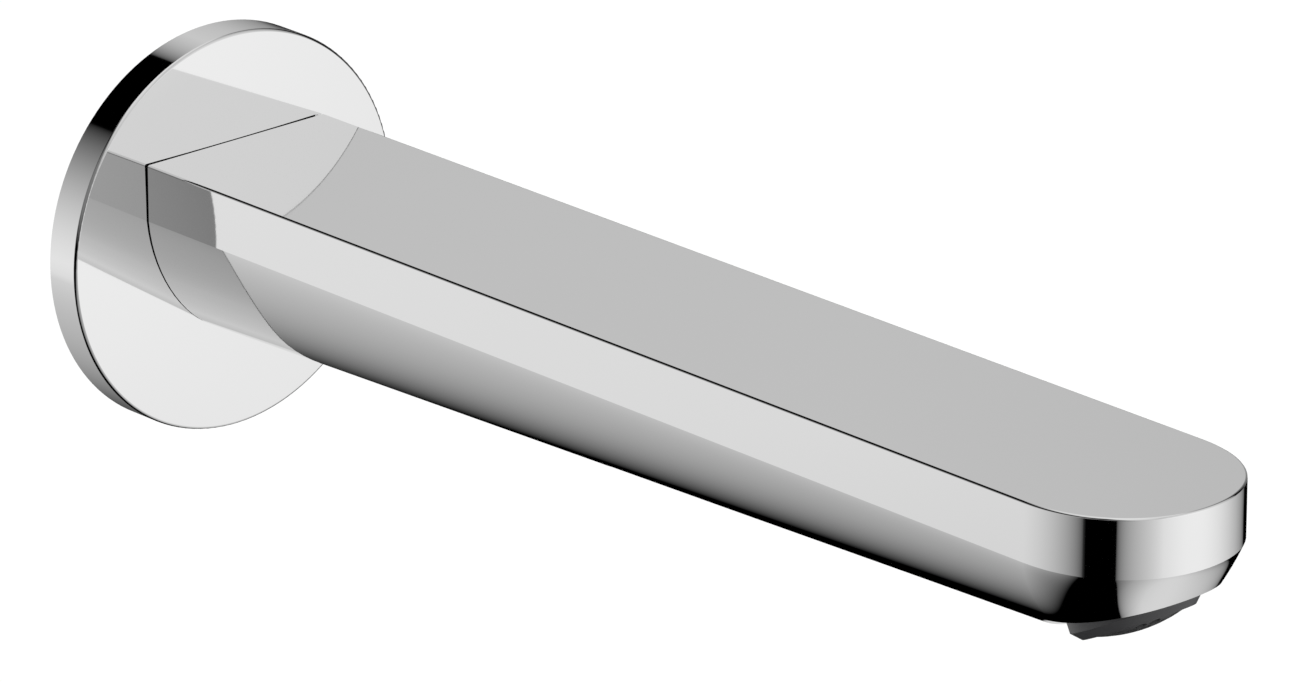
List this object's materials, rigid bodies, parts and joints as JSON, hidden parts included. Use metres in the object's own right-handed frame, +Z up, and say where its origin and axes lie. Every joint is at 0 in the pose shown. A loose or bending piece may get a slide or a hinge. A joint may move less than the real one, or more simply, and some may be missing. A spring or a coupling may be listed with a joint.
{
  "type": "wall spout",
  "caption": "Chromed wall-mounted bath spout: long flat-topped spout with a rounded underside and nose, round wall flange and a slanting aerator outlet.",
  "frame": {"origin": "on the wall plane, at the axis of the wall thread and the centre of the round flange", "axes": "+X out of the wall along the spout, +Z up, symmetric about the plane Y = 0"},
  "size_m": [0.2507, 0.07, 0.07],
  "materials": {
    "chrome_body": "polished",
    "chrome_flange": "polished",
    "foam_seal": "matte",
    "white_plastic": "satin",
    "seal_rubber": "satin",
    "brass": "turned",
    "screw_steel": "satin",
    "grey_plastic": "satin"
  },
  "bodies": {
    "root": {"spout_body": "chrome_body", "wall_flange": "chrome_flange", "flange_wall_seal": "foam_seal", "flange_centring_ring": "white_plastic", "spout_back_seal": "seal_rubber", "wall_nipple": "brass", "nipple_collar_washer": "seal_rubber", "nipple_o_ring_front": "seal_rubber", "nipple_o_ring_rear": "seal_rubber", "locking_screw": "screw_steel", "screw_plug": "grey_plastic", "aerator_housing": "grey_plastic", "aerator_seal": "seal_rubber", "aerator_filter": "white_plastic", "flow_regulator": "white_plastic", "regulator_o_ring": "seal_rubber", "regulator_star": "white_plastic", "jet_plate": "white_plastic", "mixing_ring": "white_plastic", "upper_mesh": "screw_steel", "mesh_spacer": "white_plastic", "lower_mesh": "screw_steel", "outlet_grid": "grey_plastic"}
  },
  "joints": []
}
